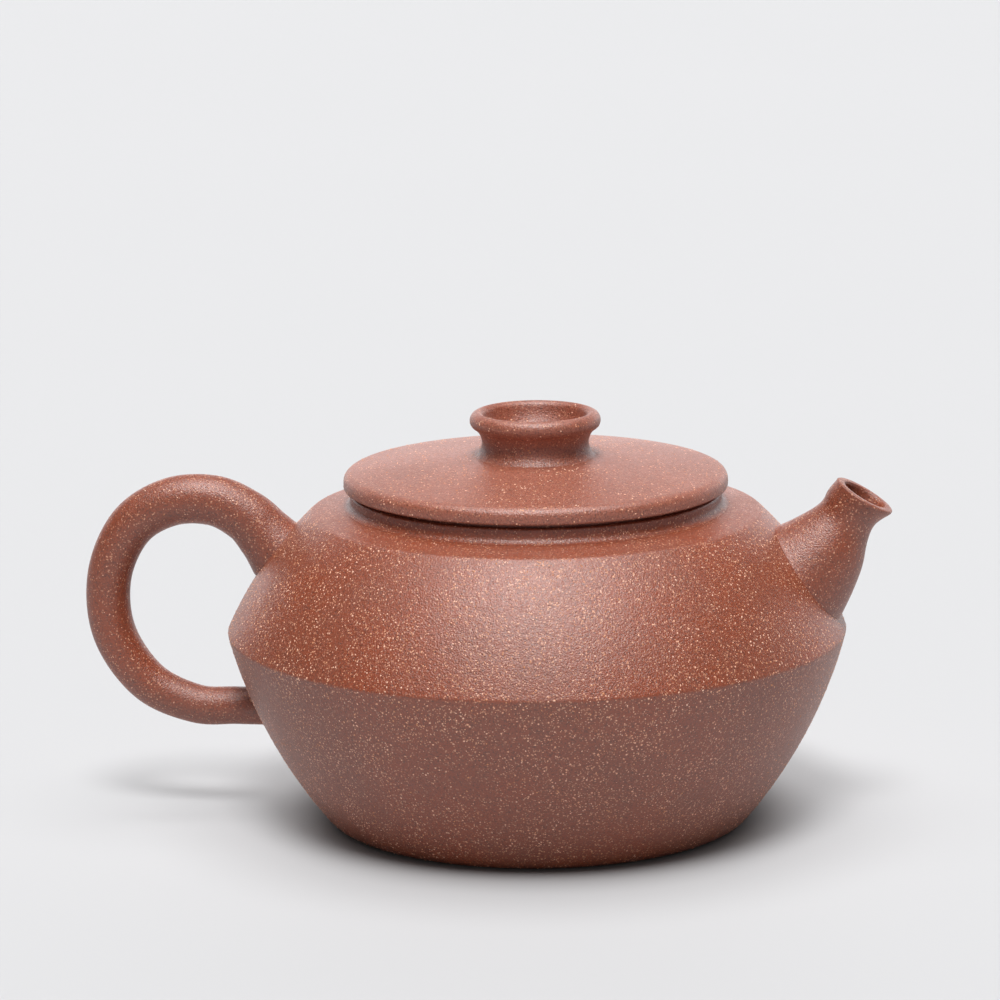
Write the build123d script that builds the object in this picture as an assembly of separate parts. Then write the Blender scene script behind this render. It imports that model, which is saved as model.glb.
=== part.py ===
"""A low, wide unglazed clay teapot with a flat pressed lid, a ring knob, a loop handle and a short spout.

The frame: +Z up, origin on the pot's axis in the plane that it stands on, +X towards the spout.
Every slab, ring, tube and rod that a potter shapes before luting the pot together is a solid of its own.
Lengths are millimetres and angles are degrees.
"""

from build123d import *
from math import cos, pi, radians, sin
import os

# Driving dimensions of the body, as (radius, height) on the outside of its section.
GIRDLE_R, GIRDLE_Z = 52.0, 32.7
BASE_CORNER_R = 34.9
CREASE_R, CREASE_Z = 37.75, 52.6
LOWER_BULGE, UPPER_BULGE = 2.15, 1.2
BASE_ROUND, GIRDLE_ROUND, CREASE_ROUND = 3.0, 0.5, 0.5
CREASE_MITRE = 25

# The tea space, the same way: the wall between the two outlines is 2.8 thick.
INNER_FLOOR_R = 34.6
INNER_GIRDLE_R, INNER_GIRDLE_Z = 49.0, 32.45
INNER_CREASE_R, INNER_CREASE_Z = 36.45, 50.0
INNER_LOWER_BULGE, INNER_UPPER_BULGE = 1.65, 1.0
CEILING_R, CEILING_Z = 30.9, 50.95

# The floor: a slab set inside the wall's foot, pressed in so that the pot stands on a ring.
SLAB_R = 30.5
SLAB_TOP = 4.0
SLAB_EDGE_Z, SLAB_CENTRE_Z = 0.35, 1.3
FLOOR_ROUND = 4.0

# The mouth and its ring.
SHOULDER_TOP = 53.75
MOUTH_R = 27.4
RING_R = 31.1
RING_TOP = 56.8
RING_FOOT, RING_SUNK = 1.1, 0.4
RING_EDGE = 0.4
RING_LAND_R, RING_STEP_Z = 29.9, 56.1

# The lid: a gently domed slab, a seat plate let into its underside, and a flange that drops into the mouth.
LID_GAP = 0.05
LID_R = 32.15
LID_BOTTOM = RING_TOP + LID_GAP
LID_RIM_TOP = 59.35
LID_CROWN = 62.2
LID_TOP_ROUND, LID_BOTTOM_ROUND = 1.8, 0.4
SEAT_OUTER_R, SEAT_INNER_R, SEAT_THICK = 29.0, 22.9, 1.6
LID_HOLLOW_Z = 59.6
FLANGE_R, FLANGE_INNER_R, FLANGE_BOTTOM = 27.0, 24.6, 50.3
FLANGE_TOP = LID_BOTTOM - LID_GAP
FLANGE_ROUND = 0.6
VENT_R = 1.5

# The ring knob.
KNOB_R, KNOB_RIM_Z, KNOB_TOP = 10.95, 68.1, 69.5
KNOB_WAIST_R, KNOB_WAIST_Z = 8.95, 64.3
KNOB_FOOT_R, KNOB_FOOT_Z = 10.2, 61.2
KNOB_UNDER_RIM = (10.0, 66.6)
KNOB_RIM_TOP_R = 9.6
KNOB_LIP = (9.0, 69.2)
KNOB_CUP_R, KNOB_CUP_EDGE_Z = 8.6, 68.6
KNOB_CUP_SIDE = (6.6, 65.1)
KNOB_CUP_FLOOR = 63.6

# The spout: stations along its centre line, each (x, z, lean, outer radius, bore radius).
SPOUT_STATIONS = [
    (42.0, 39.4, 31, 10.8, 6.6),
    (46.3, 43.1, 33, 9.05, 6.2),
    (49.9, 47.9, 42, 6.7, 4.9),
    (51.6, 51.3, 49, 5.1, 3.8),
    (52.8, 53.8, 54, 4.85, 3.65),
    (54.9, 55.8, 59.5, 5.4, 3.7),
]
SPOUT_LIP_ROUND = 0.45

# The ball strainer inside the spout's root.
STRAINER_CENTRE = (44.2, 41.0)
STRAINER_LEAN = 33
STRAINER_R, STRAINER_INNER_R = 8.6, 7.1
STRAINER_HOLE_R = 0.7
STRAINER_RINGS = [(0, 1), (17, 6), (33, 11), (49, 15)]
WALL_HOLE_R, WALL_HOLE_LENGTH = 6.3, 17

# The handle: stations along its centre line, each (x, z, radius), from inside the dome to inside the wall.
HANDLE_STATIONS = [
    (-40.6, 41.2, 6.6),
    (-44.3, 45.7, 5.4),
    (-48.3, 50.1, 4.55),
    (-54.8, 53.5, 4.25),
    (-62.2, 53.1, 4.1),
    (-69.0, 48.8, 3.9),
    (-72.9, 40.2, 3.75),
    (-72.3, 30.3, 3.7),
    (-66.7, 21.9, 3.55),
    (-58.6, 18.1, 3.3),
    (-50.5, 17.9, 3.2),
    (-44.0, 17.9, 3.2),
]


def on_section(shape):
    """Stands a sketch of (radius, height) up in the X-Z plane."""
    return Plane.XZ * shape


def turned(section):
    """A sketch of (radius, height) turned once round the pot's axis."""
    return revolve(on_section(section), axis=Axis.Z)


def bulged(start, end, bulge):
    """An arc between two points whose middle stands out by bulge, to the right of the way it runs."""
    dx, dy = end[0] - start[0], end[1] - start[1]
    length = (dx**2 + dy**2) ** 0.5
    middle = ((start[0] + end[0]) / 2 + bulge * dy / length, (start[1] + end[1]) / 2 - bulge * dx / length)
    return ThreePointArc(start, middle, end)


def block(r_low, r_high, z_low, z_high):
    """A rectangle of a section."""
    return Pos((r_low + r_high) / 2, (z_low + z_high) / 2) * Rectangle(r_high - r_low, z_high - z_low)


def rounded(sketch, point, radius):
    """The sketch with the corner nearest to a point rounded."""
    return fillet(sketch.vertices().sort_by_distance((*point, 0))[0], radius)


def body_section():
    """The outside of the body's section, closed to the pot's axis, with its edges rounded."""
    corner, girdle, crease = (BASE_CORNER_R, 0), (GIRDLE_R, GIRDLE_Z), (CREASE_R, CREASE_Z)
    edges = [
        Line((0, 0), corner),
        bulged(corner, girdle, LOWER_BULGE),
        bulged(girdle, crease, UPPER_BULGE),
        *Polyline(crease, (RING_R, SHOULDER_TOP), (0, SHOULDER_TOP), (0, 0)).edges(),
    ]
    section = rounded(make_face(edges), corner, BASE_ROUND)
    section = rounded(section, girdle, GIRDLE_ROUND)
    return rounded(section, crease, CREASE_ROUND)


def cavity_section():
    """The tea space above the floor."""
    floor = (INNER_FLOOR_R, SLAB_TOP)
    girdle = (INNER_GIRDLE_R, INNER_GIRDLE_Z)
    crease = (INNER_CREASE_R, INNER_CREASE_Z)
    edges = [
        Line((0, SLAB_TOP), floor),
        bulged(floor, girdle, INNER_LOWER_BULGE),
        bulged(girdle, crease, INNER_UPPER_BULGE),
        *Polyline(crease, (CEILING_R, CEILING_Z), (0, CEILING_Z), (0, SLAB_TOP)).edges(),
    ]
    return rounded(make_face(edges), floor, FLOOR_ROUND)


def wall_section():
    """The whole wall from foot to mouth, without the floor slab."""
    mouth = block(0, MOUTH_R, SLAB_TOP, SHOULDER_TOP)
    slab = block(0, SLAB_R, 0, SLAB_TOP)
    return body_section() - cavity_section() - mouth - slab


def crease_cut():
    """The mitre through the crease, as a plane across the section."""
    normal = (sin(radians(CREASE_MITRE)), -cos(radians(CREASE_MITRE)), 0)
    return Plane(origin=(CREASE_R, CREASE_Z, 0), x_dir=(0, 0, 1), z_dir=normal)


def girdle_cut():
    """The level joint at the girdle, as a plane across the section."""
    return Plane(origin=(0, GIRDLE_Z, 0), x_dir=(1, 0, 0), z_dir=(0, 1, 0))


def tube(stations, radius_index):
    """A loft through round sections that stand across a line in the X-Z plane."""
    rounds = []
    for station in stations:
        x, z, lean = station[:3]
        across = Plane(
            origin=(x, 0, z), x_dir=(0, 1, 0), z_dir=(cos(radians(lean)), 0, sin(radians(lean)))
        )
        rounds.append(across * Circle(station[radius_index]))
    return loft(rounds)


def base_slab():
    """The floor slab, its underside dished."""
    dish = ThreePointArc(
        (-SLAB_R, SLAB_EDGE_Z), (0, SLAB_CENTRE_Z), (SLAB_R, SLAB_EDGE_Z)
    )
    sides = Polyline((SLAB_R, SLAB_EDGE_Z), (SLAB_R, SLAB_TOP), (-SLAB_R, SLAB_TOP), (-SLAB_R, SLAB_EDGE_Z))
    whole = make_face([dish, *sides.edges()])
    return turned(whole & block(0, SLAB_R, 0, SLAB_TOP))


def lower_wall():
    """The lower bowl, from foot to girdle."""
    return turned(split(wall_section(), girdle_cut(), keep=Keep.BOTTOM))


def above_girdle():
    """The part of the wall's section above the girdle."""
    return split(wall_section(), girdle_cut(), keep=Keep.TOP)


def spout_root():
    """The line on which the spout meets the body, as a place and a lean."""
    x, z = STRAINER_CENTRE
    return Pos(x, 0, z) * Rot(0, 90 - STRAINER_LEAN, 0)


def upper_wall():
    """The dome between girdle and crease, with the hole under the spout."""
    dome = turned(split(above_girdle(), crease_cut(), keep=Keep.TOP))
    hole = spout_root() * Cylinder(WALL_HOLE_R, WALL_HOLE_LENGTH)
    return dome - hole


def shoulder_slab():
    """The shoulder between crease and mouth."""
    return turned(split(above_girdle(), crease_cut(), keep=Keep.BOTTOM))


def body_solid():
    """The body as if it were filled, for cutting what is luted to it."""
    return turned(body_section())


def mouth_ring():
    """The ring round the mouth, hollowed at its foot; the lid rests on its inner land."""
    foot_out = (RING_R + RING_FOOT, SHOULDER_TOP)
    inset = RING_FOOT * (1 - sin(pi / 4))
    hollow = ThreePointArc(
        foot_out,
        (RING_R + inset, SHOULDER_TOP + inset),
        (RING_R, SHOULDER_TOP + RING_FOOT),
    )
    outline = [
        hollow,
        *Polyline(
            (RING_R, SHOULDER_TOP + RING_FOOT),
            (RING_R, RING_STEP_Z),
            (RING_LAND_R, RING_STEP_Z),
            (RING_LAND_R, RING_TOP),
            (MOUTH_R, RING_TOP),
            (MOUTH_R, SHOULDER_TOP - RING_SUNK),
            (RING_R + RING_FOOT, SHOULDER_TOP - RING_SUNK),
            foot_out,
        ).edges(),
    ]
    section = rounded(make_face(outline), (RING_R, RING_STEP_Z), RING_EDGE)
    return turned(section) - body_solid()


def spout():
    """The spout's tube, cut to the body's outside and bored through."""
    x, z = SPOUT_STATIONS[-1][:2]
    whole = tube(SPOUT_STATIONS, 3) - tube(SPOUT_STATIONS, 4)
    lip = whole.faces().sort_by_distance((x, 0, z))[0]
    return fillet(lip.edges(), SPOUT_LIP_ROUND) - body_solid()


def strainer():
    """A ball-shaped strainer luted over the hole in the wall, with rings of small holes."""
    x, z = STRAINER_CENTRE
    ball = Pos(x, 0, z) * (Sphere(STRAINER_R) - Sphere(STRAINER_INNER_R))
    shell = ball & turned(cavity_section())
    for tilt, count in STRAINER_RINGS:
        for k in range(count):
            drill = Pos(0, 0, -STRAINER_R) * Cylinder(STRAINER_HOLE_R, STRAINER_R)
            shell -= spout_root() * Rot(0, 0, 360 * k / count) * Rot(0, tilt, 0) * drill
    return shell


def handle():
    """The rolled rod bent to a loop, its two ends cut to the body's outside."""
    points = [Vector(x, 0, z) for x, z, _ in HANDLE_STATIONS]
    line = Spline(points)
    rounds = []
    for point, (_, _, radius) in zip(points, HANDLE_STATIONS):
        across = Plane(origin=point, x_dir=(0, 1, 0), z_dir=line % line.param_at_point(point))
        rounds.append(across * Circle(radius))
    return loft(rounds) - body_solid()


def lid_dome():
    """The lid's upper slab: crowned on top, hollow below, with the vent through it."""
    rim_z = LID_RIM_TOP
    crown = ThreePointArc((-LID_R, rim_z), (0, LID_CROWN), (LID_R, rim_z))
    sides = Polyline((LID_R, rim_z), (LID_R, LID_BOTTOM), (-LID_R, LID_BOTTOM), (-LID_R, rim_z))
    whole = make_face([crown, *sides.edges()])
    section = whole & block(VENT_R, LID_R, LID_BOTTOM, LID_CROWN)
    section = rounded(section, (LID_R, rim_z), LID_TOP_ROUND)
    section = rounded(section, (LID_R, LID_BOTTOM), LID_BOTTOM_ROUND)
    section -= block(0, SEAT_OUTER_R, LID_BOTTOM, LID_BOTTOM + SEAT_THICK)
    section -= block(0, SEAT_INNER_R, LID_BOTTOM, LID_HOLLOW_Z)
    return turned(section)


def lid_seat_plate():
    """The flat ring let into the lid's underside, which lies on the mouth ring."""
    return turned(block(SEAT_INNER_R, SEAT_OUTER_R, LID_BOTTOM, LID_BOTTOM + SEAT_THICK))


def lid_flange():
    """The short collar that keeps the lid in the mouth."""
    section = block(FLANGE_INNER_R, FLANGE_R, FLANGE_BOTTOM, FLANGE_TOP)
    section = rounded(section, (FLANGE_R, FLANGE_BOTTOM), FLANGE_ROUND)
    return turned(section)


def knob():
    """The ring knob, waisted below its rolled rim and cupped down to the vent."""
    foot = (KNOB_FOOT_R, KNOB_FOOT_Z)
    foot_in = (VENT_R, KNOB_FOOT_Z)
    rim_top = (KNOB_RIM_TOP_R, KNOB_TOP)
    cup_edge = (KNOB_CUP_R, KNOB_CUP_EDGE_Z)
    cup_floor = (VENT_R, KNOB_CUP_FLOOR)
    outline = [
        Line(foot_in, foot),
        ThreePointArc(foot, (KNOB_WAIST_R, KNOB_WAIST_Z), KNOB_UNDER_RIM),
        ThreePointArc(KNOB_UNDER_RIM, (KNOB_R, KNOB_RIM_Z), rim_top),
        ThreePointArc(rim_top, KNOB_LIP, cup_edge),
        ThreePointArc(cup_edge, KNOB_CUP_SIDE, cup_floor),
        Line(cup_floor, foot_in),
    ]
    return turned(make_face(outline)) - lid_dome()


PIECES = {
    "base_slab": base_slab,
    "lower_wall": lower_wall,
    "upper_wall": upper_wall,
    "shoulder_slab": shoulder_slab,
    "mouth_ring": mouth_ring,
    "spout": spout,
    "strainer": strainer,
    "handle": handle,
    "lid_dome": lid_dome,
    "lid_seat_plate": lid_seat_plate,
    "lid_flange": lid_flange,
    "knob": knob,
}

os.makedirs("parts", exist_ok=True)
for name, make in PIECES.items():
    shape = make()
    export_step(shape, f"parts/{name}.step")
    print(f"{name}: {len(shape.solids())} solid, {shape.volume / 1000:.2f} cm3")
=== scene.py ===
# %% [markdown]
# # A sand-flecked clay teapot
# This lesson dresses a measured teapot. The measured model gives every piece its place and its size; here
# each piece is shaped again with finer curves, given its clay, and lit as in a small studio. Lengths are
# written in millimetres, as a potter would say them, and turned into metres at the last moment.

# %% Load the measured model
from math import cos, hypot, pi, radians, sin

import bmesh
import bpy
from mathutils import Matrix, Vector


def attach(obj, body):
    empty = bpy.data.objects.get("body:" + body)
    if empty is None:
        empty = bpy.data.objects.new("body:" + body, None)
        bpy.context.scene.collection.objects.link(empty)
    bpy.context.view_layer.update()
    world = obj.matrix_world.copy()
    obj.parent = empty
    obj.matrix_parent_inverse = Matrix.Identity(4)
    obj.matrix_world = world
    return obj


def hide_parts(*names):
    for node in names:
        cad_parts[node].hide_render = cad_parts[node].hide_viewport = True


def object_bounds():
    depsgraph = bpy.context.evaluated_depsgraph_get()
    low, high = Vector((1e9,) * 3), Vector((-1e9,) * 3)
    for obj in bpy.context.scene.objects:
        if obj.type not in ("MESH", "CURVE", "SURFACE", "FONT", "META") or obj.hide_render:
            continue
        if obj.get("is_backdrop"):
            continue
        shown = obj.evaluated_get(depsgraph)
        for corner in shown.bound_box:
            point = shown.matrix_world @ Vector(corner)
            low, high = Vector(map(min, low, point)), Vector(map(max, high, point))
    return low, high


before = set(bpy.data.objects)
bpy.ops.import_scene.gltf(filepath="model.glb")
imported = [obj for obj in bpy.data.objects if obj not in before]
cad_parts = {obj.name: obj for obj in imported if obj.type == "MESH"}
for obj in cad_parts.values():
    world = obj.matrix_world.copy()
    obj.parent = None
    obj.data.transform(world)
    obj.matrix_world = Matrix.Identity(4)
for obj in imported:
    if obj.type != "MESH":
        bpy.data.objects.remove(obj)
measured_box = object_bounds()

MM = 0.001

# %% [markdown]
# ## Lines a potter's template is cut from
# Nearly every piece of this pot is turned, rolled or pulled, so its shape is a line in the plane through
# spout and handle. Two helpers draw such lines: an arc through three points, and a chain of runs whose
# corners are softened. The softening is a quadratic curve that leaves each run along its own direction, so
# no corner shows a kink.


# %% Draw arcs and chains
def arc(start, middle, end, steps=12):
    """Points of the circle arc through three points, both ends included."""
    (ax, az), (bx, bz), (cx, cz) = start, middle, end
    d = 2 * (ax * (bz - cz) + bx * (cz - az) + cx * (az - bz))
    ux = ((ax**2 + az**2) * (bz - cz) + (bx**2 + bz**2) * (cz - az) + (cx**2 + cz**2) * (az - bz)) / d
    uz = ((ax**2 + az**2) * (cx - bx) + (bx**2 + bz**2) * (ax - cx) + (cx**2 + cz**2) * (bx - ax)) / d
    centre, first = Vector((ux, uz)), Vector((ax - ux, az - uz))
    last, through = Vector((cx - ux, cz - uz)), Vector((bx - ux, bz - uz))
    turn = first.angle_signed(last)
    if first.angle_signed(through) * turn < 0:
        turn -= 2 * pi * (1 if turn > 0 else -1)
    points = []
    for k in range(steps + 1):
        a = -turn * k / steps
        points.append((
            centre.x + first.x * cos(a) - first.y * sin(a),
            centre.y + first.x * sin(a) + first.y * cos(a),
        ))
    return points


def bulged(start, end, bulge, steps=28):
    """An arc whose middle stands out by bulge, to the right of the way it runs."""
    dx, dz = end[0] - start[0], end[1] - start[1]
    length = hypot(dx, dz)
    middle = ((start[0] + end[0]) / 2 + bulge * dz / length, (start[1] + end[1]) / 2 - bulge * dx / length)
    return arc(start, middle, end, steps)


def shortened(run, by):
    """The run with a length taken off its end."""
    kept = list(run)
    while by > 0 and len(kept) > 1:
        last, before = Vector(kept[-1]), Vector(kept[-2])
        step = (last - before).length
        if step > by:
            kept[-1] = tuple(last + (before - last) * (by / step))
            return kept
        kept.pop()
        by -= step
    return kept


def chain(*runs, soft=(), steps=6):
    """Runs joined end to end; soft gives the length taken off each side of the corner after each run."""
    runs = [list(run) for run in runs]
    out = []
    for k, run in enumerate(runs):
        cut_before = soft[k - 1] if 0 < k <= len(soft) else 0
        cut_after = soft[k] if k < len(soft) else 0
        corner_in = run[0]
        if cut_before:
            run = shortened(run[::-1], cut_before)[::-1]
            a, b = Vector(out[-1]), Vector(run[0])
            c = Vector(corner_in)
            for j in range(1, steps):
                t = j / steps
                out.append(tuple((1 - t) ** 2 * a + 2 * t * (1 - t) * c + t**2 * b))
        if cut_after:
            run = shortened(run, cut_after)
        out += run
    slim = [out[0]]
    for point in out[1:]:
        if hypot(point[0] - slim[-1][0], point[1] - slim[-1][1]) > 1e-4:
            slim.append(point)
    return slim


def line(start, end, steps=1):
    run, rise = end[0] - start[0], end[1] - start[1]
    return [(start[0] + run * k / steps, start[1] + rise * k / steps) for k in range(steps + 1)]


print("an arc of the dome starts", [round(v, 2) for v in bulged((52, 32.7), (37.75, 52.6), 1.2)[1]])

# %% [markdown]
# ## One tree for everything that is turned, rolled or pulled
# A lathe turns a profile round an axis; a rolled rod is a row of rounds set across a bent line. Both are
# the same thing: a list of rings, each with a centre, a half-width in the plane of the template, and a
# half-width sideways. So one Geometry Nodes tree makes them all. It takes a chain of points that carry
# those two half-widths as attributes, lays a grid over them, and bends row after row of the grid round the
# rings. A little low, slow noise is added along each radius, because clay that is beaten and scraped is
# never quite round.


# %% Helpers that build node trees
class Tree:
    """A geometry tree with named inputs, and one method that adds a node."""

    def __init__(self, name, **inputs):
        self.group = bpy.data.node_groups.new(name, "GeometryNodeTree")
        face = self.group.interface
        face.new_socket("Geometry", in_out="INPUT", socket_type="NodeSocketGeometry")
        face.new_socket("Geometry", in_out="OUTPUT", socket_type="NodeSocketGeometry")
        for label, (kind, value) in inputs.items():
            made = face.new_socket(label.replace("_", " "), in_out="INPUT", socket_type="NodeSocket" + kind)
            if value is not None:
                made.default_value = value
        self.entry = self.group.nodes.new("NodeGroupInput")
        self.exit = self.group.nodes.new("NodeGroupOutput")

    def given(self, label):
        return self.entry.outputs[label.replace("_", " ")]

    def node(self, kind, settings=None, out=0, **sockets):
        made = self.group.nodes.new(kind)
        for key, value in (settings or {}).items():
            setattr(made, key, value)
        for key, value in sockets.items():
            key = int(key[1:]) if key[1:].isdigit() else key.replace("_", " ")
            socket = made.inputs[key]
            if isinstance(value, bpy.types.NodeSocket):
                self.group.links.new(value, socket)
            else:
                socket.default_value = value
        return made.outputs[out]

    def math(self, operation, a, b=0.0):
        return self.node("ShaderNodeMath", {"operation": operation}, i0=a, i1=b)

    def finish(self, geometry):
        self.group.links.new(geometry, self.exit.inputs[0])
        return self.group


def ring_tree():
    """The tree that skins a chain of rings."""
    t = Tree("ring skin", Round_steps=("Int", 192), Rings=("Int", 2), Waver=("Float", 0.0),
             Clay=("Material", None))
    rows = t.math("ADD", t.given("Round steps"), 1.0)
    grid = t.node("GeometryNodeMeshGrid", Vertices_X=rows, Vertices_Y=t.given("Rings"),
                  Size_X=1.0, Size_Y=1.0)
    index = t.node("GeometryNodeInputIndex")
    row = t.math("FLOOR", t.math("DIVIDE", t.math("ADD", index, 0.5), t.given("Rings")))
    station = t.math("SUBTRACT", index, t.math("MULTIPLY", row, t.given("Rings")))
    angle = t.math("MULTIPLY", t.math("DIVIDE", row, t.given("Round steps")), 2 * pi)
    chain_in = t.given("Geometry")

    def sampled(kind, source):
        return t.node("GeometryNodeSampleIndex", {"data_type": kind, "domain": "POINT"},
                      Geometry=chain_in, Value=source, Index=station)

    def named(kind, label):
        return t.node("GeometryNodeInputNamedAttribute", {"data_type": kind}, Name=label)

    centre = sampled("FLOAT_VECTOR", t.node("GeometryNodeInputPosition"))
    across = sampled("FLOAT_VECTOR", named("FLOAT_VECTOR", "across"))
    sideways = sampled("FLOAT", named("FLOAT", "sideways"))
    outside = sampled("FLOAT", named("FLOAT", "outside"))
    side = t.node("ShaderNodeCombineXYZ", Y=t.math("MULTIPLY", sideways, t.math("SINE", angle)))
    lean = t.node("ShaderNodeVectorMath", {"operation": "SCALE"}, i0=across, Scale=t.math("COSINE", angle))
    reach = t.node("ShaderNodeVectorMath", {"operation": "ADD"}, i0=lean, i1=side)
    place = t.node("ShaderNodeVectorMath", {"operation": "ADD"}, i0=centre, i1=reach)
    slow = t.node("ShaderNodeTexNoise", out="Fac", Vector=place, Scale=26.0, Detail=2.0, Roughness=0.45)
    swell = t.math("MULTIPLY", t.math("SUBTRACT", slow, 0.5), t.given("Waver"))
    ease = t.math("MINIMUM", t.math("MULTIPLY", sideways, 100.0), 1.0)
    outward = t.node("ShaderNodeVectorMath", {"operation": "NORMALIZE"}, i0=reach)
    push = t.node("ShaderNodeVectorMath", {"operation": "SCALE"}, i0=outward,
                  Scale=t.math("MULTIPLY", swell, ease))
    final = t.node("ShaderNodeVectorMath", {"operation": "ADD"}, i0=place, i1=push)
    bent = t.node("GeometryNodeSetPosition", Geometry=grid, Position=final)
    marked = t.node("GeometryNodeStoreNamedAttribute", {"data_type": "FLOAT", "domain": "POINT"},
                    Geometry=bent, Name="outside", Value=outside)
    closed = t.node("GeometryNodeMergeByDistance", Geometry=marked, Distance=1e-6)
    real = t.node("GeometryNodeRealizeInstances", Geometry=closed)
    return t.finish(t.node("GeometryNodeSetMaterial", Geometry=real, Material=t.given("Clay")))


RING_TREE = ring_tree()
print("ring tree has", len(RING_TREE.nodes), "nodes")


# %% Run a tree on an object and keep a plain mesh
def run_tree(name, mesh, tree, **inputs):
    """A finished object: the tree run on a mesh, its result kept as a plain mesh, its modifier gone."""
    piece = bpy.data.objects.new(name, mesh)
    bpy.context.scene.collection.objects.link(piece)
    modifier = piece.modifiers.new("shape", "NODES")
    modifier.node_group = tree
    for item in tree.interface.items_tree:
        key = item.name.replace(" ", "_")
        if item.item_type == "SOCKET" and item.in_out == "INPUT" and key in inputs:
            modifier[item.identifier] = inputs[key]
    bpy.context.view_layer.update()
    seen = piece.evaluated_get(bpy.context.evaluated_depsgraph_get())
    plain = bpy.data.meshes.new_from_object(seen)
    piece.modifiers.clear()
    piece.data = plain
    plain.name = name
    return piece


def tidy_normals(mesh, sharp_angle=38):
    """Faces turned outward, shading smooth except over true corners."""
    work = bmesh.new()
    work.from_mesh(mesh)
    bmesh.ops.remove_doubles(work, verts=work.verts, dist=1e-7)
    bmesh.ops.dissolve_degenerate(work, edges=work.edges, dist=1e-8)
    bmesh.ops.recalc_face_normals(work, faces=work.faces)
    work.to_mesh(mesh)
    work.free()
    mesh.shade_smooth()
    mesh.set_sharp_from_angle(angle=radians(sharp_angle))


# %% [markdown]
# ## Numbers that become shader nodes
# A finish is easier to read as arithmetic than as a web of wires. `Field` wraps one socket of a shader
# tree, and adding, multiplying or comparing fields adds the Math nodes. `Finish` holds the tree and adds
# every other node.


# %% A small language for finishes
class Field:
    """A number that varies over a surface."""

    def __init__(self, finish, socket):
        self.finish, self.socket = finish, socket

    def _math(self, operation, a, b, clamp=False):
        return self.finish.node("ShaderNodeMath", {"operation": operation, "use_clamp": clamp}, i0=a, i1=b)

    def __add__(self, other):
        return self._math("ADD", self, other)

    def __sub__(self, other):
        return self._math("SUBTRACT", self, other)

    def __rsub__(self, other):
        return self._math("SUBTRACT", other, self)

    def __mul__(self, other):
        return self._math("MULTIPLY", self, other)

    def __truediv__(self, other):
        return self._math("DIVIDE", self, other)

    def __rtruediv__(self, other):
        return self._math("DIVIDE", other, self)

    def __pow__(self, other):
        return self._math("POWER", self, other)

    __radd__ = __add__
    __rmul__ = __mul__

    def between(self, low, high):
        """0 at low and below, 1 at high and above, eased; low may be the larger."""
        settings = {"data_type": "FLOAT", "interpolation_type": "SMOOTHSTEP"}
        if low < high:
            return self.finish.node("ShaderNodeMapRange", settings, Value=self, From_Min=low, From_Max=high)
        return 1 - self.finish.node("ShaderNodeMapRange", settings, Value=self, From_Min=high, From_Max=low)


class Finish:
    """A material whose tree is built by arithmetic on fields."""

    def __init__(self, name):
        self.material = bpy.data.materials.new(name)
        self.material.use_nodes = True
        self.tree = self.material.node_tree
        self.shader = self.tree.nodes["Principled BSDF"]
        self.place = self.node("ShaderNodeTexCoord", out="Object")

    def node(self, kind, settings=None, out=0, **sockets):
        made = self.tree.nodes.new(kind)
        for key, value in (settings or {}).items():
            setattr(made, key, value)
        for key, value in sockets.items():
            key = int(key[1:]) if key[1:].isdigit() else key.replace("_", " ")
            self.feed(made.inputs[key], value)
        return Field(self, made.outputs[out])

    def feed(self, socket, value):
        if isinstance(value, Field):
            self.tree.links.new(value.socket, socket)
        else:
            socket.default_value = value

    def noise(self, size, detail=2.0, roughness=0.5, stretch=(1, 1, 1), at=(0, 0, 0)):
        """Cloudy noise from 0 to 1 whose features are about size millimetres across."""
        where = self.node("ShaderNodeMapping", Vector=self.place, Scale=stretch, Location=at)
        return self.node("ShaderNodeTexNoise", out="Fac", Vector=where, Scale=1 / (size * MM),
                         Detail=detail, Roughness=roughness)

    def cells(self, size, out="Distance", at=(0, 0, 0)):
        """Scattered cells about size millimetres apart: distance to the nearest centre, or a colour each."""
        where = self.node("ShaderNodeMapping", Vector=self.place, Location=at)
        return self.node("ShaderNodeTexVoronoi", out=out, Vector=where, Scale=1 / (size * MM), Randomness=1.0)

    def mixed(self, mask, low, high):
        """A colour between two colours, by a mask."""
        made = self.tree.nodes.new("ShaderNodeMix")
        made.data_type = "RGBA"
        for socket, value in ((made.inputs[0], mask), (made.inputs[6], low), (made.inputs[7], high)):
            self.feed(socket, value)
        return Field(self, made.outputs[2])

    def done(self, **sockets):
        for key, value in sockets.items():
            self.feed(self.shader.inputs[key.replace("_", " ")], value)
        return self.material


print("finish helpers ready")

# %% [markdown]
# ## The clay
# The clay is a purple-brown stoneware with iron and mica in it, and pale sand mixed into the lump. It is
# not glazed: what shines is the skin of fine clay that burnishing brings up, broken by sand that sits just
# under it. So the colour has three layers: slow clouds from the kneading, a dust of fine golden grains, and
# darker pinholes. The surface has pear skin: soft low bumps about half a millimetre apart, and a finer
# tooth between them.

# %% Mix the clays
IRON_RED = (0.288, 0.054, 0.016, 1)
PURPLE_BROWN = (0.230, 0.060, 0.030, 1)
BURNT = (0.090, 0.026, 0.016, 1)
GOLD_DUST = (0.700, 0.330, 0.195, 1)


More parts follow.
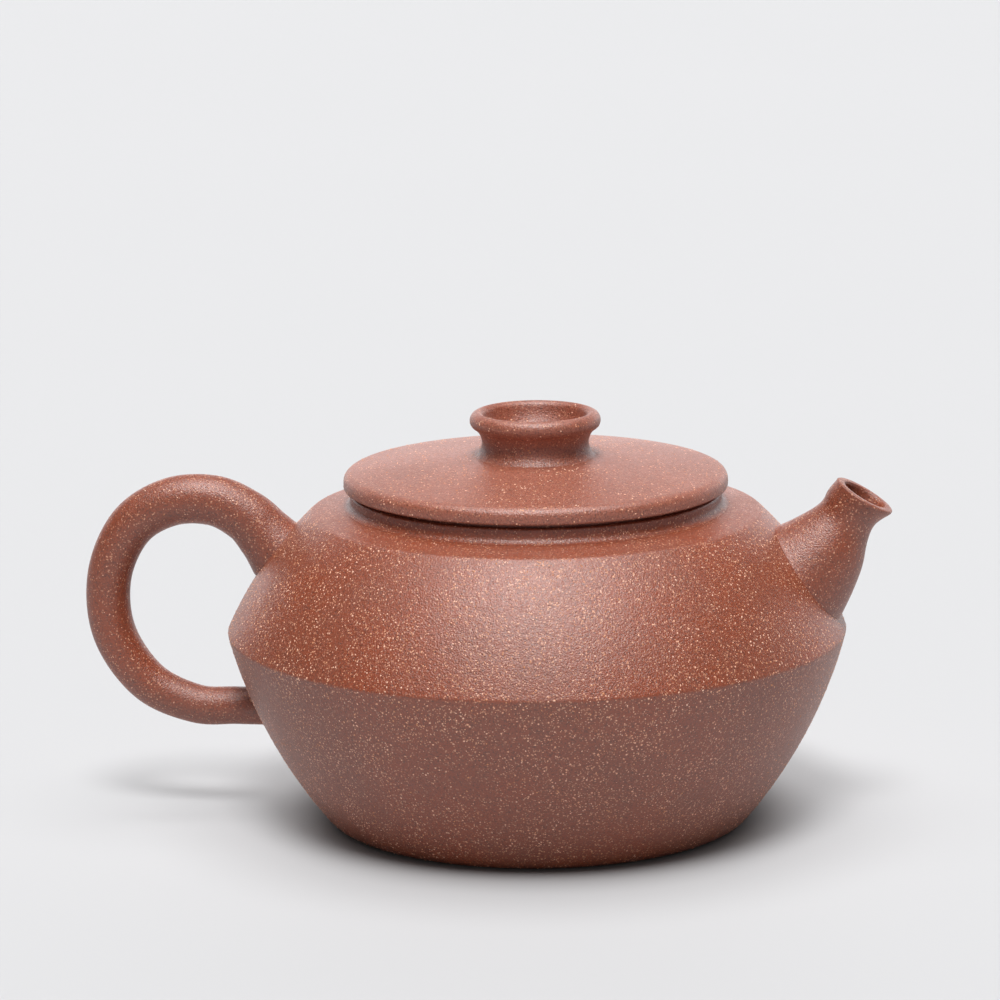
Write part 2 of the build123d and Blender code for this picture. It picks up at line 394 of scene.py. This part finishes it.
def clay(name, warm=IRON_RED, cool=PURPLE_BROWN, dust=1.0, skin=1.0, gloss=0.40):
    f = Finish(name)
    clouds = f.noise(22, detail=3, roughness=0.55).between(0.32, 0.70)
    patches = f.noise(3.2, detail=2).between(0.35, 0.72)
    colour = f.mixed(clouds * 0.55 + patches * 0.25, warm, cool)
    silt = f.noise(0.30, detail=3, roughness=0.7)
    colour = f.mixed(silt.between(0.54, 0.32) * 0.8, colour, BURNT)
    pin_holes = f.cells(0.9, at=(0.3, 0.1, 0.7)).between(0.20, 0.10) * f.noise(1.7).between(0.50, 0.62)
    colour = f.mixed(pin_holes * 0.6, colour, BURNT)
    drift = f.noise(7.5, detail=2).between(0.34, 0.62)
    fine = f.cells(0.46).between(0.38, 0.22) * f.noise(0.8, at=(0.2, 0, 0)).between(0.44, 0.56)
    coarse = f.cells(0.95, at=(0, 0.4, 0)).between(0.19, 0.10)
    coarse = coarse * f.noise(1.3, at=(0, 0, 0.5)).between(0.46, 0.54)
    grains = (fine * 0.75 + coarse * 0.80) * (0.45 + 0.55 * drift) * dust
    colour = f.mixed(grains, colour, GOLD_DUST)
    pear = f.noise(0.85, detail=1.5, roughness=0.5)
    tooth = f.noise(0.28, detail=2, roughness=0.6, at=(0.1, 0.2, 0))
    drag = f.noise(1.6, detail=1, stretch=(0.25, 0.25, 1.6))
    height = pear * 0.52 + tooth * 1.05 + drag * 0.09 + fine * 0.12 - pin_holes * 0.4
    bump = f.node("ShaderNodeBump", Height=height, Strength=1.0, Distance=0.00011 * skin)
    roughness = gloss + (pear - 0.5) * 0.16 + clouds * 0.05 - grains * 0.12
    return f.done(Base_Color=colour, Roughness=roughness, Normal=bump, IOR=1.75)


POT_CLAY = clay("pot clay")
# The lid's clay is the pot's clay made lighter and paler. This is painted light for the overhead light and
# sheen on the lid's top. It also carries less sand.
LID_CLAY_PAINTED_LIGHTER = clay("lid clay", warm=(0.355, 0.102, 0.058, 1), cool=(0.290, 0.090, 0.056, 1), dust=0.6)
INNER_CLAY = clay("unburnished inner clay", dust=0.7, skin=1.4, gloss=0.66)
print("clays:", [m.name for m in (POT_CLAY, LID_CLAY_PAINTED_LIGHTER, INNER_CLAY)])


# %% Finish for the sand grains
def grain_finish():
    f = Finish("pale sand")
    pick = f.cells(1.3, out="Color")
    split = f.node("ShaderNodeSeparateColor", out="Red", Color=pick)
    shade = f.node("ShaderNodeSeparateColor", out="Green", Color=pick)
    colour = f.mixed(split, (0.74, 0.35, 0.21, 1), (0.88, 0.54, 0.40, 1))
    colour = f.mixed(shade.between(0.6, 1.0), colour, (0.58, 0.24, 0.11, 1))
    tooth = f.noise(0.12)
    bump = f.node("ShaderNodeBump", Height=tooth, Strength=0.5, Distance=0.00003)
    return f.done(Base_Color=colour, Roughness=0.34 + tooth * 0.2, Normal=bump)


SAND = grain_finish()
print("sand:", SAND.name)


# %% [markdown]
# ## Shaping helpers
# A turned piece is a closed template, given as (radius, height) points; a pulled or rolled piece is a list
# of rings along a line. Both become a chain of points with their half-widths as attributes, which the ring
# tree skins.


# %% Turn a template, or skin a line of rings
def ring_chain(name, rings):
    """A mesh of single points, one per ring: (centre, across, sideways, outside), in millimetres."""
    mesh = bpy.data.meshes.new(name)
    mesh.from_pydata([Vector(ring[0]) * MM for ring in rings], [], [])
    across = [value * MM for ring in rings for value in ring[1]]
    mesh.attributes.new("across", "FLOAT_VECTOR", "POINT").data.foreach_set("vector", across)
    sideways = [ring[2] * MM for ring in rings]
    mesh.attributes.new("sideways", "FLOAT", "POINT").data.foreach_set("value", sideways)
    mesh.attributes.new("outside", "FLOAT", "POINT").data.foreach_set("value", [ring[3] for ring in rings])
    return mesh


def skin(name, rings, finish, round_steps, waver=0.0):
    mesh = ring_chain(name + " rings", rings)
    piece = run_tree(
        name, mesh, RING_TREE, Round_steps=round_steps, Rings=len(rings), Waver=waver * MM, Clay=finish
    )
    tidy_normals(piece.data)
    print(f"{name}: {len(piece.data.polygons)} faces")
    return piece


def turned(name, template, finish, show=(), round_steps=288, waver=0.10):
    """A closed template turned round the pot's axis; show is the stretch of it seen from outside."""
    low, high = show if show else (0, 0)
    rings = []
    for k, (radius, height) in enumerate([*template, template[0]]):
        seen = 1.0 if low <= k < high else 0.0
        rings.append(((0, 0, height), (radius, 0, 0), radius, seen))
    return skin(name, rings, finish, round_steps, waver)


# %% [markdown]
# ## The body
# The wall is two bowls, one on the other, that meet in a crisp girdle, closed by a nearly flat shoulder
# round the mouth. The girdle is only just softened, by a thumb's width of scraping, and the crease above it
# a little more.

# %% Sizes of the body
FOOT = (34.9, 0.0)
GIRDLE = (52.0, 32.7)
CREASE = (37.75, 52.6)
INNER_FLOOR = (34.6, 4.0)
INNER_GIRDLE = (49.0, 32.45)
INNER_CREASE = (36.45, 50.0)
CEILING = (30.9, 50.95)
SLAB_R, SLAB_TOP = 30.5, 4.0
MOUTH_R, RING_R, RING_TOP, SHOULDER_TOP = 27.4, 31.1, 56.8, 53.75
low_outer = bulged(FOOT, GIRDLE, 2.15, 40)
low_inner = bulged(INNER_FLOOR, INNER_GIRDLE, 1.65, 30)
high_outer = bulged(GIRDLE, CREASE, 1.2, 30)
high_inner = bulged(INNER_GIRDLE, INNER_CREASE, 1.0, 24)
outer_wall = chain(line((SLAB_R, 0), FOOT, 4), low_outer, high_outer, line(CREASE, (RING_R, SHOULDER_TOP), 6),
                   soft=(2.0, 0.35, 0.45))
inner_wall = chain(line((SLAB_R, SLAB_TOP), INNER_FLOOR), low_inner, high_inner, line(INNER_CREASE, CEILING),
                   line(CEILING, (MOUTH_R, CEILING[1])), soft=(2.4, 0.6, 1.2, 0.5))
print("outer wall", len(outer_wall), "points; inner wall", len(inner_wall))


def stretch(points, low, high):
    """The part of a wall line between two heights, cut exactly at both."""
    out = []
    for a, b in zip(points, points[1:]):
        if low <= a[1] <= high:
            out.append(a)
        for cut in (low, high):
            if (a[1] - cut) * (b[1] - cut) < 0:
                t = (cut - a[1]) / (b[1] - a[1])
                out.append((a[0] + (b[0] - a[0]) * t, cut))
    if low <= points[-1][1] <= high:
        out.append(points[-1])
    return out


# %% Turn the floor and the walls
ABOVE_ALL = 99


def nearest(points, place):
    """Which point of a line is nearest to a place."""
    return min(range(len(points)), key=lambda k: hypot(points[k][0] - place[0], points[k][1] - place[1]))


slab_under = arc((0, 1.3), (SLAB_R / 2, 1.06), (SLAB_R, 0.35), 12)
base_slab = turned("base_slab_clay", [*slab_under, (SLAB_R, SLAB_TOP), (0, SLAB_TOP)], INNER_CLAY,
                   round_steps=128, waver=0)

low_skin = stretch(outer_wall, -1, GIRDLE[1])
low_back = stretch(inner_wall, 0, GIRDLE[1])[::-1]
off_ground = next(k for k, point in enumerate(low_skin) if point[1] > 0.3)
lower_wall = turned("lower_wall_clay", low_skin + low_back, POT_CLAY, (off_ground, len(low_skin)))

crease_at = nearest(outer_wall, CREASE)
high_skin = stretch(outer_wall[:crease_at + 1], GIRDLE[1], ABOVE_ALL)
inner_top = nearest(inner_wall, INNER_CREASE)
high_back = stretch(inner_wall[:inner_top + 1], GIRDLE[1], ABOVE_ALL)
upper_wall = turned("upper_wall_clay", high_skin + high_back[::-1], POT_CLAY, (0, len(high_skin)))

shoulder_skin = [*outer_wall[crease_at:], (MOUTH_R, SHOULDER_TOP)]
shoulder = turned("shoulder_slab_clay", shoulder_skin + inner_wall[inner_top:][::-1], POT_CLAY,
                  (0, len(shoulder_skin) - 2))

# %% [markdown]
# The ring round the mouth is a coil pressed on to the shoulder and turned true. Its foot is drawn into the
# shoulder with a wet finger, which leaves the small hollow that catches the light under the lid. Its outer
# edge is stepped down a little from the land that the lid rests on, so that a dark line shows below the
# lid.

# %% Turn the mouth ring
RING_FOOT = 1.1
LAND_R, STEP_Z = 29.9, 56.1
ring_template = chain(
    arc((RING_R + RING_FOOT, SHOULDER_TOP - 0.15), (RING_R + 0.33, SHOULDER_TOP + 0.3),
        (RING_R, SHOULDER_TOP + RING_FOOT), 8),
    line((RING_R, SHOULDER_TOP + RING_FOOT), (RING_R, STEP_Z), 3),
    line((RING_R, STEP_Z), (LAND_R, STEP_Z), 3),
    line((LAND_R, STEP_Z), (LAND_R, RING_TOP), 1),
    line((LAND_R, RING_TOP), (MOUTH_R, RING_TOP), 3),
    line((MOUTH_R, RING_TOP), (MOUTH_R, SHOULDER_TOP - 0.4), 3),
    line((MOUTH_R, SHOULDER_TOP - 0.4), (RING_R + RING_FOOT, SHOULDER_TOP - 0.4), 1),
    soft=(0.0, 0.4, 0.0, 0.12, 0.35),
)
mouth_ring = turned("mouth_ring_clay", ring_template, POT_CLAY, (0, 18))

# %% [markdown]
# ## The handle
# The handle is a rod rolled thicker at one end, bent to a loop while it is leather-hard, and luted to the
# dome and to the lower wall. Its thickness falls all the way round. Each end is cut to the slope of the
# wall it meets, and ends inside the wall's thickness. A smooth line through a few stations gives the path,
# and the ring tree does the rest.


# %% Ease a line through stations
def eased(stations, steps):
    """Points on a smooth line through stations (any number of values each), with steps between each pair."""
    out = []
    for k in range(len(stations) - 1):
        p0, p1 = stations[max(k - 1, 0)], stations[k]
        p2, p3 = stations[k + 1], stations[min(k + 2, len(stations) - 1)]
        for j in range(steps):
            t = j / steps
            out.append(tuple(
                0.5 * (2 * b + (c - a) * t + (2 * a - 5 * b + 4 * c - d) * t**2
                       + (3 * b - a - 3 * c + d) * t**3)
                for a, b, c, d in zip(p0, p1, p2, p3)
            ))
    out.append(tuple(stations[-1]))
    return out


def cross_rings(path, first_slope=None, last_slope=None):
    """Rings across a path of (x, z, radius); the end rings may be sheared to lie along a wall's slope."""
    rings = []
    for k, (x, z, radius) in enumerate(path):
        before, after = path[max(k - 1, 0)], path[min(k + 1, len(path) - 1)]
        way = Vector((after[0] - before[0], 0, after[1] - before[1])).normalized()
        across = Vector((-way.z, 0, way.x))
        slope = first_slope if k == 0 else last_slope if k == len(path) - 1 else None
        if slope:
            along = Vector((cos(radians(slope)), 0, sin(radians(slope))))
            across = along / along.dot(across)
        rings.append(((x, 0, z), across * radius, radius, 1.0))
    return rings


HANDLE_STATIONS = [
    (-43.45, 44.7, 5.75),
    (-45.9, 47.6, 4.95),
    (-49.2, 50.9, 4.48),
    (-54.8, 53.5, 4.25),
    (-62.2, 53.1, 4.1),
    (-69.0, 48.8, 3.9),
    (-72.9, 40.2, 3.75),
    (-72.3, 30.3, 3.7),
    (-66.7, 21.9, 3.55),
    (-58.6, 18.1, 3.3),
    (-51.5, 17.9, 3.2),
    (-45.2, 17.9, 3.25),
]
path = eased(HANDLE_STATIONS, 12)
rings = cross_rings(path, first_slope=54.4, last_slope=117.6)
caps = [((*rings[0][0],), rings[0][1] * 1e-4, 1e-4, 0.0), ((*rings[-1][0],), rings[-1][1] * 1e-4, 1e-4, 0.0)]
handle = skin("handle_rod_clay", [caps[0], *rings, caps[1]], POT_CLAY, 72, waver=0.12)

# %% [markdown]
# ## The spout
# The spout is pulled and bent over a tapered stick, so it is a tube from the start: wide where it meets the
# dome, narrow at the throat, flared at the lip. Its rings run up the outside, over the lip and back down
# the bore.


# %% Pull the spout
def leaning(stations, steps):
    """Rings of stations (x, z, lean, radius), each leaning as it says, with eased rings between."""
    rings = []
    for x, z, lean, radius in eased(stations, steps):
        across = Vector((-sin(radians(lean)), 0, cos(radians(lean)))) * radius
        rings.append(((x, 0, z), across, radius))
    return rings


SPOUT_OUTSIDE = [
    (44.3, 41.5, 32.5, 9.95),
    (46.3, 43.1, 33, 9.05),
    (49.9, 47.9, 42, 6.7),
    (51.6, 51.3, 49, 5.1),
    (52.8, 53.8, 54, 4.85),
    (54.75, 55.55, 59.5, 5.32),
]
SPOUT_LIP = [
    (54.95, 55.87, 59.5, 5.33),
    (55.03, 56.0, 59.5, 5.12),
    (55.05, 56.04, 59.5, 4.75),
    (55.05, 56.04, 59.5, 4.25),
    (55.02, 55.98, 59.5, 3.95),
]
SPOUT_BORE = [
    (54.8, 55.7, 59.5, 3.74),
    (52.8, 53.8, 54, 3.65),
    (51.6, 51.3, 49, 3.8),
    (49.9, 47.9, 42, 4.9),
    (46.3, 43.1, 33, 6.2),
    (44.3, 41.5, 32.5, 6.3),
]
outside_rings = [(*ring, 1.0) for ring in leaning(SPOUT_OUTSIDE, 10)]
lip_rings = [(*ring, 1.0) for ring in leaning(SPOUT_LIP, 2)]
bore_rings = [(*ring, 0.0) for ring in leaning(SPOUT_BORE, 8)]
spout_rings = [*outside_rings, *lip_rings, *bore_rings]
spout = skin("spout_tube_clay", [*spout_rings, (*outside_rings[0][:3], 0.0)], POT_CLAY, 112, waver=0.10)


# %% [markdown]
# The hole under the spout is punched through the dome before the spout is luted on. A boolean with a plain
# punch does the same here. The strainer keeps the measured shape, on a merged copy so that it can be shaded
# smooth.


# %% Punch the hole and set the strainer
def punch(piece, centre, lean, radius, length):
    """A round hole through a piece, along a line that leans above the horizontal."""
    mesh = bpy.data.meshes.new("punch")
    work = bmesh.new()
    way = Matrix.Translation(Vector(centre) * MM) @ Matrix.Rotation(radians(90 - lean), 4, "Y")
    bmesh.ops.create_cone(work, cap_ends=True, segments=64, radius1=radius * MM, radius2=radius * MM,
                          depth=length * MM, matrix=way)
    work.to_mesh(mesh)
    work.free()
    tool = bpy.data.objects.new("punch", mesh)
    bpy.context.scene.collection.objects.link(tool)
    cut = piece.modifiers.new("hole", "BOOLEAN")
    cut.object, cut.operation, cut.solver = tool, "DIFFERENCE", "EXACT"
    bpy.context.view_layer.update()
    plain = bpy.data.meshes.new_from_object(piece.evaluated_get(bpy.context.evaluated_depsgraph_get()))
    piece.modifiers.clear()
    piece.data = plain
    bpy.data.objects.remove(tool)
    piece.data.set_sharp_from_angle(angle=radians(38))


punch(upper_wall, (44.2, 0, 41.0), 33, 6.3, 17)
print("upper wall with its hole:", len(upper_wall.data.polygons), "faces")


def merged_copy(name, node, finish):
    """A copy of a measured node with its loose triangles merged and shaded smooth."""
    piece = bpy.data.objects.new(name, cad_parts[node].data.copy())
    bpy.context.scene.collection.objects.link(piece)
    piece.data.materials.clear()
    piece.data.materials.append(finish)
    tidy_normals(piece.data, 30)
    return piece


strainer = merged_copy("ball_strainer_clay", "strainer", INNER_CLAY)
print("strainer:", len(strainer.data.polygons), "faces")

# %% [markdown]
# ## The lid
# The lid is a flat slab, crowned by a few millimetres, with a rolled edge. Below it are a seat plate and
# the flange that keeps it in the mouth. The knob is a small ring turned on its own: a waist, a rolled rim,
# and a cup down to the vent.

# %% Sizes of the lid
LID_R, LID_BOTTOM, LID_RIM, LID_CROWN = 32.15, 56.85, 59.35, 62.2
LID_HOLLOW = 59.6
SEAT_R, SEAT_INNER_R, SEAT_THICK = 29.0, 22.9, 1.6
SEAT_TOP = LID_BOTTOM + SEAT_THICK
FLANGE_R, FLANGE_INNER_R, FLANGE_BOTTOM, FLANGE_TOP = 27.0, 24.6, 50.3, 56.8
VENT_R = 1.5


def crown(radius):
    """Height of the lid's top at a radius."""
    return LID_CROWN - (LID_CROWN - LID_RIM) * (radius / LID_R) ** 2


top = [(r, crown(r)) for r in [VENT_R + (LID_R - VENT_R) * k / 36 for k in range(37)]]
lid_side = line(top[-1], (LID_R, LID_BOTTOM))
lid_skin = chain(top, lid_side, line((LID_R, LID_BOTTOM), (SEAT_R, LID_BOTTOM), 3), soft=(1.5, 0.4))
lid_under = [(SEAT_R, SEAT_TOP), (SEAT_INNER_R, SEAT_TOP), (SEAT_INNER_R, LID_HOLLOW), (VENT_R, LID_HOLLOW)]
lid_dome = turned("lid_dome_clay", lid_skin + lid_under, LID_CLAY_PAINTED_LIGHTER, (0, len(lid_skin) - 2))

# %% Turn the seat plate and the flange
seat = [(SEAT_INNER_R, LID_BOTTOM), (SEAT_R, LID_BOTTOM), (SEAT_R, SEAT_TOP), (SEAT_INNER_R, SEAT_TOP)]
seat_plate = turned("lid_seat_plate_clay", seat, LID_CLAY_PAINTED_LIGHTER, round_steps=192, waver=0)

flange_template = chain(
    line((FLANGE_R, FLANGE_TOP), (FLANGE_R, FLANGE_BOTTOM), 3),
    line((FLANGE_R, FLANGE_BOTTOM), (FLANGE_INNER_R, FLANGE_BOTTOM), 3),
    line((FLANGE_INNER_R, FLANGE_BOTTOM), (FLANGE_INNER_R, FLANGE_TOP), 3),
    soft=(0.6, 0.35),
)
lid_flange = turned("lid_flange_clay", flange_template, LID_CLAY_PAINTED_LIGHTER, round_steps=192, waver=0)

# %% Turn the knob
KNOB_R, KNOB_RIM_Z, KNOB_TOP = 10.95, 68.1, 69.5
WAIST = (8.95, 64.3)
under_rim = (KNOB_R - 0.95, KNOB_RIM_Z - 1.5)
rim_top = (KNOB_R - 1.35, KNOB_TOP)
cup_edge = (8.6, KNOB_RIM_Z + 0.5)
CUP_FLOOR = 63.6
knob_foot = (10.2, crown(10.2) - 0.15)
knob_template = chain(
    arc(knob_foot, WAIST, under_rim, 22),
    arc(under_rim, (KNOB_R, KNOB_RIM_Z), rim_top, 14),
    arc(rim_top, (9.0, KNOB_TOP - 0.3), cup_edge, 10),
    arc(cup_edge, (6.6, 65.1), (VENT_R, CUP_FLOOR), 18),
    line((VENT_R, CUP_FLOOR), (VENT_R, crown(VENT_R) - 0.15), 2),
    soft=(0.45, 0.0, 0.35),
)
knob = turned("ring_knob_clay", knob_template, LID_CLAY_PAINTED_LIGHTER, (0, 64), round_steps=160, waver=0.06)

# %% [markdown]
# ## Sand in the skin
# The pale sand is real stuff, so it is made of real grains: tens of thousands of flattened pebbles, each
# sunk about halfway into the skin. One Geometry Nodes tree scatters them on whatever is outside, thicker
# here and thinner there as kneading leaves them, most of them small and a few large. It keeps only the
# grains, as one plain mesh for each body.


# %% The tree that scatters sand
def sand_tree():
    t = Tree("sand", Grains_per_square_mm=("Float", 0.4), Smallest=("Float", 0.06 * MM),
             Largest=("Float", 0.18 * MM), Seed=("Int", 1), Sand=("Material", None))
    ground = t.given("Geometry")
    here = t.node("GeometryNodeInputPosition")
    drift = t.node("ShaderNodeTexNoise", out="Fac", Vector=here, Scale=120.0, Detail=2.0)
    thick = t.node("ShaderNodeMapRange", Value=drift, i1=0.34, i2=0.68, i3=0.25, i4=1.9)
    seen = t.node("GeometryNodeInputNamedAttribute", {"data_type": "FLOAT"}, Name="outside")
    per_square_metre = t.math("MULTIPLY", t.given("Grains per square mm"), 1e6)
    density = t.math("MULTIPLY", per_square_metre, t.math("MULTIPLY", thick, seen))
    scatter = t.group.nodes.new("GeometryNodeDistributePointsOnFaces")
    scatter.distribute_method = "RANDOM"
    t.group.links.new(ground, scatter.inputs["Mesh"])
    t.group.links.new(density, scatter.inputs["Density"])
    t.group.links.new(t.given("Seed"), scatter.inputs["Seed"])
    pebble = t.node("GeometryNodeMeshUVSphere", Segments=5, Rings=2, Radius=1.0)
    dice = t.node("FunctionNodeRandomValue", {"data_type": "FLOAT"}, out=1, Seed=t.given("Seed"))
    rare = t.math("POWER", dice, 2.2)
    spread = t.math("SUBTRACT", t.given("Largest"), t.given("Smallest"))
    size = t.math("ADD", t.given("Smallest"), t.math("MULTIPLY", rare, spread))
    stretch_dice = t.node("FunctionNodeRandomValue", {"data_type": "FLOAT_VECTOR"},
                          Min=(0.75, 0.75, 0.45), Max=(1.35, 1.2, 0.7))
    sizes = t.node("ShaderNodeVectorMath", {"operation": "SCALE"}, i0=stretch_dice, Scale=size)
    spin = t.node("FunctionNodeRandomValue", {"data_type": "FLOAT"}, out=1, i2=0.0, i3=2 * pi)
    turn = t.node("FunctionNodeRotateRotation", {"rotation_space": "LOCAL"},
                  Rotation=scatter.outputs["Rotation"],
                  Rotate_By=t.node("FunctionNodeAxisAngleToRotation", Axis=(0, 0, 1), Angle=spin))
    laid = t.node("GeometryNodeInstanceOnPoints", Points=scatter.outputs["Points"], Instance=pebble,
                  Rotation=turn, Scale=sizes)
    sunk = t.node("GeometryNodeTranslateInstances", Instances=laid,
                  Translation=t.node("ShaderNodeCombineXYZ", Z=-0.012 * MM))
    real = t.node("GeometryNodeRealizeInstances", Geometry=sunk)
    return t.finish(t.node("GeometryNodeSetMaterial", Geometry=real, Material=t.given("Sand")))


SAND_TREE = sand_tree()
print("sand tree has", len(SAND_TREE.nodes), "nodes")


# %% Scatter the sand
def sanded(name, pieces, per_mm2, seed, largest=0.18 * MM):
    """One mesh of sand for several pieces of a body."""
    work = bmesh.new()
    for k, piece in enumerate(pieces):
        grains = run_tree(name, piece.data.copy(), SAND_TREE, Grains_per_square_mm=per_mm2, Largest=largest,
                          Seed=seed + k, Sand=SAND)
        work.from_mesh(grains.data)
        bpy.data.objects.remove(grains)
    mesh = bpy.data.meshes.new(name)
    work.to_mesh(mesh)
    work.free()
    mesh.materials.append(SAND)
    mesh.shade_flat()
    sand = bpy.data.objects.new(name, mesh)
    bpy.context.scene.collection.objects.link(sand)
    print(f"{name}: {len(mesh.polygons) // 10} grains")
    return sand


low_sand = sanded("lower_wall_sand", [lower_wall], 1.3, 11)
high_sand = sanded("upper_wall_sand", [upper_wall], 1.5, 12)
trim_sand = sanded("trim_sand", [shoulder, mouth_ring, handle, spout], 0.50, 31, largest=0.13 * MM)
lid_sand = sanded("lid_sand", [lid_dome, knob], 0.65, 51)

# %% [markdown]
# ## Every piece on its body
# The lid lifts and turns, so its pieces ride on the lid; the flange rides on the body between the two
# joints. Each new piece hides the measured node it stands for.

# %% Seat the pieces
POT_PIECES = {
    "base_slab": base_slab, "lower_wall": lower_wall, "upper_wall": upper_wall, "shoulder_slab": shoulder,
    "mouth_ring": mouth_ring, "handle": handle, "spout": spout, "strainer": strainer,
}
LID_PIECES = {"lid_dome": lid_dome, "lid_seat_plate": seat_plate, "knob": knob}
for body, slot, pieces in (("pot", "pot_clay", POT_PIECES), ("lid", "lid_clay", LID_PIECES),
                           ("flange", "lid_clay", {"lid_flange": lid_flange})):
    for node, piece in pieces.items():
        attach(piece, body)
        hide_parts(node)
for sand in (low_sand, high_sand, trim_sand):
    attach(sand, "pot")
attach(lid_sand, "lid")
print("seated", len(POT_PIECES) + len(LID_PIECES) + 1, "pieces and their sand")

# %% [markdown]
# ## The studio
# The pot stands on a seamless pale sheet that glows a little: the glow is painted fill light, and it is left
# out near the foot as a painted contact shadow. A soft light high in front gives the wall its broad
# highlight, a very broad one overhead lights the lid and shoulder, and a weak one low in front opens the
# shadows. A bright
# card stands low behind the pot: its reflection, seen at a glance, makes the outline pale. The rest of the
# room is almost dark, which keeps the flanks deep and warm.


# %% Floor, lights and room
# Distances from the pot's axis, in metres: the floor's glow grows from nothing at GLOW_STARTS to full at
# GLOW_FULL, so a painted contact shadow rings the foot.
GLOW_STARTS, GLOW_FULL = 0.034, 0.050


def glowing_sheet(name, size, colour, glow, roughness):
    """A pale sheet that glows as painted fill light, with the glow left out near the foot as a painted
    contact shadow.
    """
    f = Finish(name)
    cloud = f.noise(180, detail=1)
    away = f.node("ShaderNodeVectorMath", {"operation": "LENGTH"}, out="Value", i0=f.place)
    # Painted contact shadow: the glow fades out towards the foot.
    glow_clear_of_painted_shadow = away.between(GLOW_STARTS, GLOW_FULL)
    mesh = bpy.data.meshes.new(name)
    h = size / 2
    mesh.from_pydata([(-h, -h, 0), (h, -h, 0), (h, h, 0), (-h, h, 0)], [], [(0, 1, 2, 3)])
    shade = f.mixed(cloud, (*colour, 1), (*(c * 0.985 for c in colour), 1))
    # Colour of the glow, near black by the foot as painted shadow, elsewhere painted fill light.
    glow_with_painted_foot_shadow = f.mixed(glow_clear_of_painted_shadow, (0.01, 0.01, 0.01, 1), (0.98, 0.985, 1.0, 1))
    mesh.materials.append(f.done(Base_Color=shade, Roughness=roughness, Emission_Color=glow_with_painted_foot_shadow,
                                 Emission_Strength=glow))
    sheet = bpy.data.objects.new(name, mesh)
    bpy.context.scene.collection.objects.link(sheet)
    return sheet


floor = glowing_sheet("studio floor", 14.0, (0.335, 0.335, 0.341), glow=0.26, roughness=0.75)
floor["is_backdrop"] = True


TURN = radians(6.5)


def facing(x, y, z):
    """A place given as the camera sees the room, in metres, turned into the pot's frame."""
    return (x * cos(TURN) - y * sin(TURN), x * sin(TURN) + y * cos(TURN), z)


def broad_sun(name, elevation, azimuth, spread, strength):
    """An even, very soft light from one side of the room; azimuth 0 is behind the camera, in degrees."""
    light = bpy.data.lights.new(name, "SUN")
    light.angle, light.energy = radians(spread), strength
    lamp = bpy.data.objects.new(name, light)
    bpy.context.scene.collection.objects.link(lamp)
    e, a = radians(elevation), radians(azimuth)
    towards = Vector(facing(sin(a) * cos(e), -cos(a) * cos(e), sin(e)))
    lamp.matrix_world = towards.to_track_quat("Z", "Y").to_matrix().to_4x4()
    return lamp


broad_sun("front light", elevation=64, azimuth=-3, spread=18, strength=2.10)
broad_sun("low front fill", elevation=12, azimuth=0, spread=50, strength=0.22)
broad_sun("overhead light", elevation=89, azimuth=0, spread=58, strength=2.80)

world = bpy.data.worlds.new("room")
bpy.context.scene.world = world
world.use_nodes = True
room = world.node_tree
sky = room.nodes["Background"]
direction = room.nodes.new("ShaderNodeTexCoord")
parts = room.nodes.new("ShaderNodeSeparateXYZ")
room.links.new(direction.outputs["Generated"], parts.inputs[0])


def graded(axis, start, end, first, last):
    """A strength that goes from first to last as one part of the direction goes from start to end."""
    fade = room.nodes.new("ShaderNodeMapRange")
    fade.interpolation_type = "SMOOTHSTEP"
    for socket, value in zip(list(fade.inputs)[1:5], (start, end, first, last)):
        socket.default_value = value
    room.links.new(parts.outputs[axis], fade.inputs["Value"])
    return fade.outputs["Result"]


strength = room.nodes.new("ShaderNodeMath")
strength.operation = "MULTIPLY_ADD"
room.links.new(graded("Z", 0.29, 0.47, 2.0, 0.0), strength.inputs[0])
room.links.new(graded("Y", 0.54, 0.71, 0.0, 1.0), strength.inputs[1])
strength.inputs[2].default_value = 0.012
room.links.new(strength.outputs[0], sky.inputs["Strength"])
sky.inputs["Color"].default_value = (0.97, 0.975, 1.0, 1)
bpy.context.scene.view_settings.view_transform = "Standard"
print("lights placed")

# %% Camera
PITCH, ROLL, DISTANCE = radians(11.98), radians(0.588), 0.8
AIM = (-0.006009, 0.0, 0.054366)
camera = bpy.data.objects.new("camera", bpy.data.cameras.new("camera"))
bpy.context.scene.collection.objects.link(camera)
camera.data.lens = 171.94
camera.data.clip_start = 0.05
place = (AIM[0], -DISTANCE * cos(PITCH), AIM[2] + DISTANCE * sin(PITCH))
camera.matrix_world = (
    Matrix.Rotation(TURN, 4, "Z") @ Matrix.Translation(place) @ Matrix.Rotation(pi / 2 - PITCH, 4, "X")
    @ Matrix.Rotation(-ROLL, 4, "Z")
)
bpy.context.scene.camera = camera
print("camera at", [round(v, 3) for v in camera.matrix_world.translation])

# %% Compare the boxes and finish
dressed_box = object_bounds()
for label, box in (("measured", measured_box), ("dressed", dressed_box)):
    print(label, [[round(v / MM, 1) for v in corner] for corner in box])
